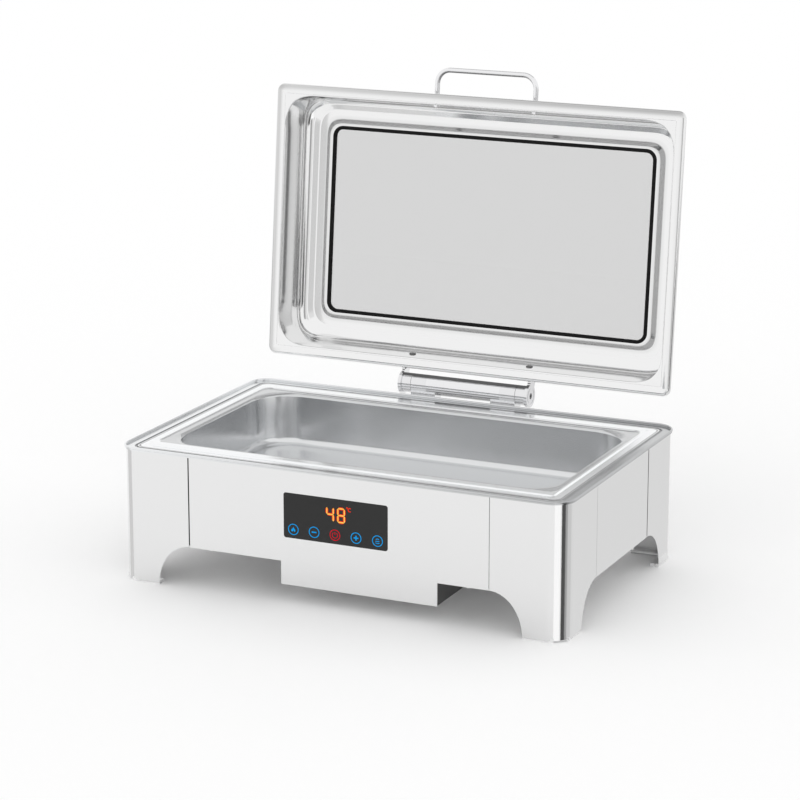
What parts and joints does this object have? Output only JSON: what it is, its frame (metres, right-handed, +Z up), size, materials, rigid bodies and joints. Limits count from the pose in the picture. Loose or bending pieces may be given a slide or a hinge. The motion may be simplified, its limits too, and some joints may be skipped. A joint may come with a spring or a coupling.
{
  "type": "electric chafing dish",
  "caption": "Rectangular electric chafing dish: sheet-steel stand on arched feet, sunk food pan, touch display, and a hinged lid with a large window and bar handle.",
  "frame": {"origin": "centre of the stand's footprint, on the table", "axes": "+X along the front to the right, +Y towards the hinge at the rear, +Z up"},
  "size_m": [0.575, 0.4628, 0.5722],
  "materials": {
    "base_plate": "polished stainless sheet",
    "base_screws": "bright stainless",
    "board_components": "moulded",
    "box_end_left": "dark painted",
    "box_end_right": "dark painted",
    "box_screws": "bright stainless",
    "box_tray": "polished stainless sheet",
    "control_glass": "dark glossy panel",
    "corner_leg_front_left": "polished stainless sheet",
    "corner_leg_front_right": "polished stainless sheet",
    "corner_leg_rear_left": "polished stainless sheet",
    "corner_leg_rear_right": "polished stainless sheet",
    "display_board": "solder mask",
    "display_frame": "moulded",
    "display_module": "moulded",
    "food_pan": "polished stainless sheet",
    "front_panel": "polished stainless sheet",
    "handle_nuts": "bright stainless",
    "handle_washers": "bright stainless",
    "heater_clamps": "polished stainless sheet",
    "heater_nuts": "bright stainless",
    "heater_studs": "bright stainless",
    "heating_plate": "plain",
    "heating_tube": "heat-tinted",
    "hinge_arm_left": "bright stainless",
    "hinge_arm_right": "bright stainless",
    "hinge_backing": "polished stainless sheet",
    "hinge_barrel": "bright stainless",
    "hinge_bushings": "acetal",
    "hinge_end_screws": "bright stainless",
    "hinge_saddle_left": "bright stainless",
    "hinge_saddle_right": "bright stainless",
    "hinge_shaft": "bright stainless",
    "inlet_pins": "nickel plated",
    "inlet_screws": "bright stainless",
    "left_panel": "polished stainless sheet",
    "lid_bolt_nuts": "bright stainless",
    "lid_bolts": "bright stainless",
    "lid_handle": "bright stainless",
    "lid_shell": "polished stainless sheet",
    "mains_inlet": "moulded",
    "power_board": "solder mask",
    "rear_panel": "polished stainless sheet",
    "right_panel": "polished stainless sheet",
    "saddle_nuts": "bright stainless",
    "saddle_screws": "bright stainless",
    "seam_strips": "polished stainless sheet",
    "temperature_sensor": "plain",
    "thermal_cutout": "phenolic",
    "top_rim": "polished stainless sheet",
    "touch_pads": "conductive foam",
    "water_pan": "polished stainless sheet",
    "window_gasket": "black silicone",
    "window_pane": "tempered, frosted by reflections"
  },
  "bodies": {
    "stand": {"base_plate": "base_plate", "base_screws": "base_screws", "board_components": "board_components", "box_end_left": "box_end_left", "box_end_right": "box_end_right", "box_screws": "box_screws", "box_tray": "box_tray", "control_glass": "control_glass", "corner_leg_front_left": "corner_leg_front_left", "corner_leg_front_right": "corner_leg_front_right", "corner_leg_rear_left": "corner_leg_rear_left", "corner_leg_rear_right": "corner_leg_rear_right", "display_board": "display_board", "display_frame": "display_frame", "display_module": "display_module", "front_panel": "front_panel", "heater_clamps": "heater_clamps", "heater_nuts": "heater_nuts", "heater_studs": "heater_studs", "heating_plate": "heating_plate", "heating_tube": "heating_tube", "hinge_backing": "hinge_backing", "hinge_barrel": "hinge_barrel", "hinge_bushings": "hinge_bushings", "hinge_saddle_left": "hinge_saddle_left", "hinge_saddle_right": "hinge_saddle_right", "inlet_pins": "inlet_pins", "inlet_screws": "inlet_screws", "left_panel": "left_panel", "mains_inlet": "mains_inlet", "power_board": "power_board", "rear_panel": "rear_panel", "right_panel": "right_panel", "saddle_nuts": "saddle_nuts", "saddle_screws": "saddle_screws", "seam_strips": "seam_strips", "temperature_sensor": "temperature_sensor", "thermal_cutout": "thermal_cutout", "top_rim": "top_rim", "touch_pads": "touch_pads", "water_pan": "water_pan"},
    "lid": {"lid_shell": "lid_shell", "window_pane": "window_pane", "window_gasket": "window_gasket", "hinge_arm_left": "hinge_arm_left", "hinge_arm_right": "hinge_arm_right", "hinge_shaft": "hinge_shaft", "hinge_end_screws": "hinge_end_screws", "lid_bolts": "lid_bolts", "lid_bolt_nuts": "lid_bolt_nuts", "lid_handle": "lid_handle", "handle_washers": "handle_washers", "handle_nuts": "handle_nuts"},
    "pan": {"food_pan": "food_pan"}
  },
  "joints": [
    {"name": "lid_hinge", "type": "hinge", "parent": "stand", "child": "lid", "pos_m": [0, 0.195, 0.1776], "axis": [1, 0, 0], "range_deg": [0, 95.8]},
    {"name": "pan_lift", "type": "slide", "parent": "stand", "child": "pan", "axis": [0, 0, -1], "range_m": [-0.15, 0]}
  ]
}
